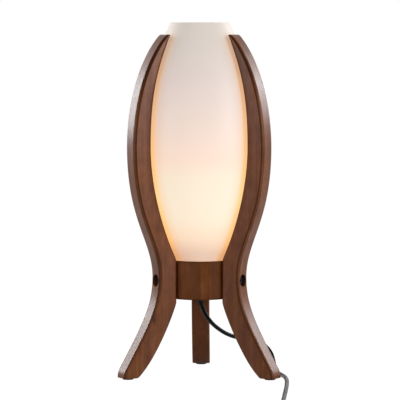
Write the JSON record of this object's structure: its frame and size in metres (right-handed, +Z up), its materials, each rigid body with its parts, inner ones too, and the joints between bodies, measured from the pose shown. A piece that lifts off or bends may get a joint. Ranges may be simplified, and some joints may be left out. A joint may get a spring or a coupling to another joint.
{
  "type": "table lamp",
  "caption": "Table lamp: an egg-shaped opal glass shade, open at the top, held by S-shaped wooden legs on a round wooden hub, with a mains cord, in-line switch and plug.",
  "frame": {"origin": "where the lamp's vertical axis meets the floor it stands on", "axes": "+Z up along the axis of the glass, -Y towards the viewer, between the front legs, +X to the viewer's right"},
  "size_m": [0.22, 0.588, 0.458],
  "materials": {
    "leg_wood": "walnut-brown wood, satin lacquer",
    "hub_wood": "walnut-brown wood, satin lacquer",
    "dowel_wood": "plain beech",
    "opal_glass": "opal glass, satin, lit warm from inside",
    "clear_rubber": "translucent silicone",
    "pad_rubber": "matte black rubber",
    "black_steel": "black oxide",
    "zinc_steel": "zinc-plated steel",
    "nickel": "nickel plating",
    "brass": "plain brass",
    "black_plastic": "fine matte black",
    "rocker_plastic": "glossy black",
    "phenolic": "brown moulding",
    "white_plastic": "white plastic",
    "bulb_diffuser": "frosted, glows warm when lit",
    "led_board": "white-faced board with yellow chips",
    "cord_sheath": "black cable sheath, slight sheen",
    "line_core": "black insulation",
    "neutral_core": "white insulation"
  },
  "bodies": {
    "lamp": {"leg_rear": "leg_wood", "leg_front_left": "leg_wood", "leg_front_right": "leg_wood", "hub": "hub_wood", "leg_bolts": "black_steel", "bolt_washers": "black_steel", "hub_inserts": "brass", "leg_dowels": "dowel_wood", "foot_pads": "pad_rubber", "pad_nails": "zinc_steel", "shade": "opal_glass", "shade_gasket": "clear_rubber", "threaded_pipe": "brass", "pipe_nut": "brass", "pipe_washer": "zinc_steel", "holder_cap": "black_plastic", "holder_base": "phenolic", "holder_sleeve": "black_plastic", "screw_shell": "brass", "centre_contact": "brass", "terminal_screws": "brass", "line_wire": "line_core", "neutral_wire": "neutral_core", "cord_lead": "cord_sheath", "cord_grip": "pad_rubber", "cord_drop": "cord_sheath", "switch_base": "black_plastic", "switch_cover": "black_plastic", "rocker_pin": "zinc_steel", "switch_terminals": "brass", "switch_leads": "cord_sheath", "switch_screws": "zinc_steel", "cord_link": "cord_sheath", "cord_coil": "cord_sheath", "coil_tie": "white_plastic", "cord_tail": "cord_sheath", "plug_body": "black_plastic", "plug_blades": "nickel"},
    "bulb": {"bulb_globe": "bulb_diffuser", "bulb_housing": "white_plastic", "led_plate": "led_board", "bulb_cap": "nickel", "bulb_insulator": "black_plastic", "bulb_contact": "nickel"},
    "rocker": {"switch_rocker": "rocker_plastic"}
  },
  "joints": [
    {"name": "bulb_turn", "type": "hinge", "parent": "lamp", "child": "bulb", "pos_m": [0, 0, 0.146], "axis": [0, 0, 1], "range_deg": [0, 1620]},
    {"name": "rocker_tilt", "type": "hinge", "parent": "lamp", "child": "rocker", "pos_m": [0.02, -0.381, 0.012], "axis": [0, -1, 0], "range_deg": [0, 24]}
  ]
}
